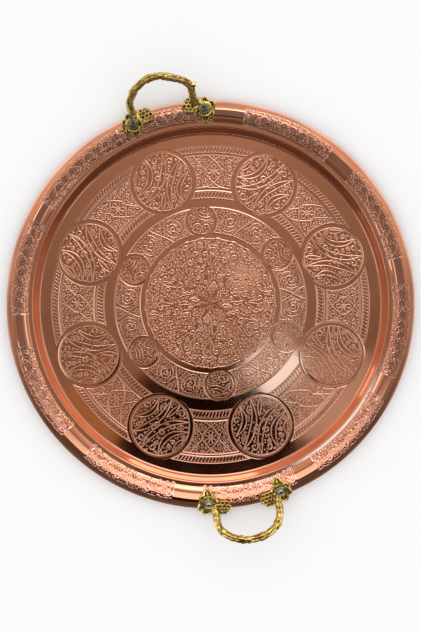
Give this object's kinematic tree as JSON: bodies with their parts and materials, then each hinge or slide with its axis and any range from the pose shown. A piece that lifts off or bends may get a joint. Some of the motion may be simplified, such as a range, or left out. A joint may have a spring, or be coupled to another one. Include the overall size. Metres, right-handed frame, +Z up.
{
  "type": "handled tray",
  "caption": "Round shallow tray with a chased rim and floor and a cast twig handle riveted on at each end, for carrying and serving.",
  "frame": {"origin": "on the tray's axis, in the plane of the underside that it stands on", "axes": "+Z up out of the dish; +Y towards one handle, and -Y towards the other"},
  "size_m": [0.5, 0.5754, 0.0514],
  "materials": {
    "copper_sheet": "polished copper sheet, chased and slightly darkened in the grooves",
    "cast_brass": "cast brass, tumbled bright on the high spots and dark in the hollows",
    "rivet_metal": "plain grey rivet metal, domed and smooth",
    "edge_wire": "drawn wire, dull"
  },
  "bodies": {
    "root": {"tray_body": "copper_sheet", "edge_wire": "edge_wire", "handle_north": "cast_brass", "handle_south": "cast_brass", "rivet_north_left": "rivet_metal", "rivet_north_right": "rivet_metal", "rivet_south_left": "rivet_metal", "rivet_south_right": "rivet_metal", "burr_north_left": "rivet_metal", "burr_north_right": "rivet_metal", "burr_south_left": "rivet_metal", "burr_south_right": "rivet_metal"}
  },
  "joints": []
}
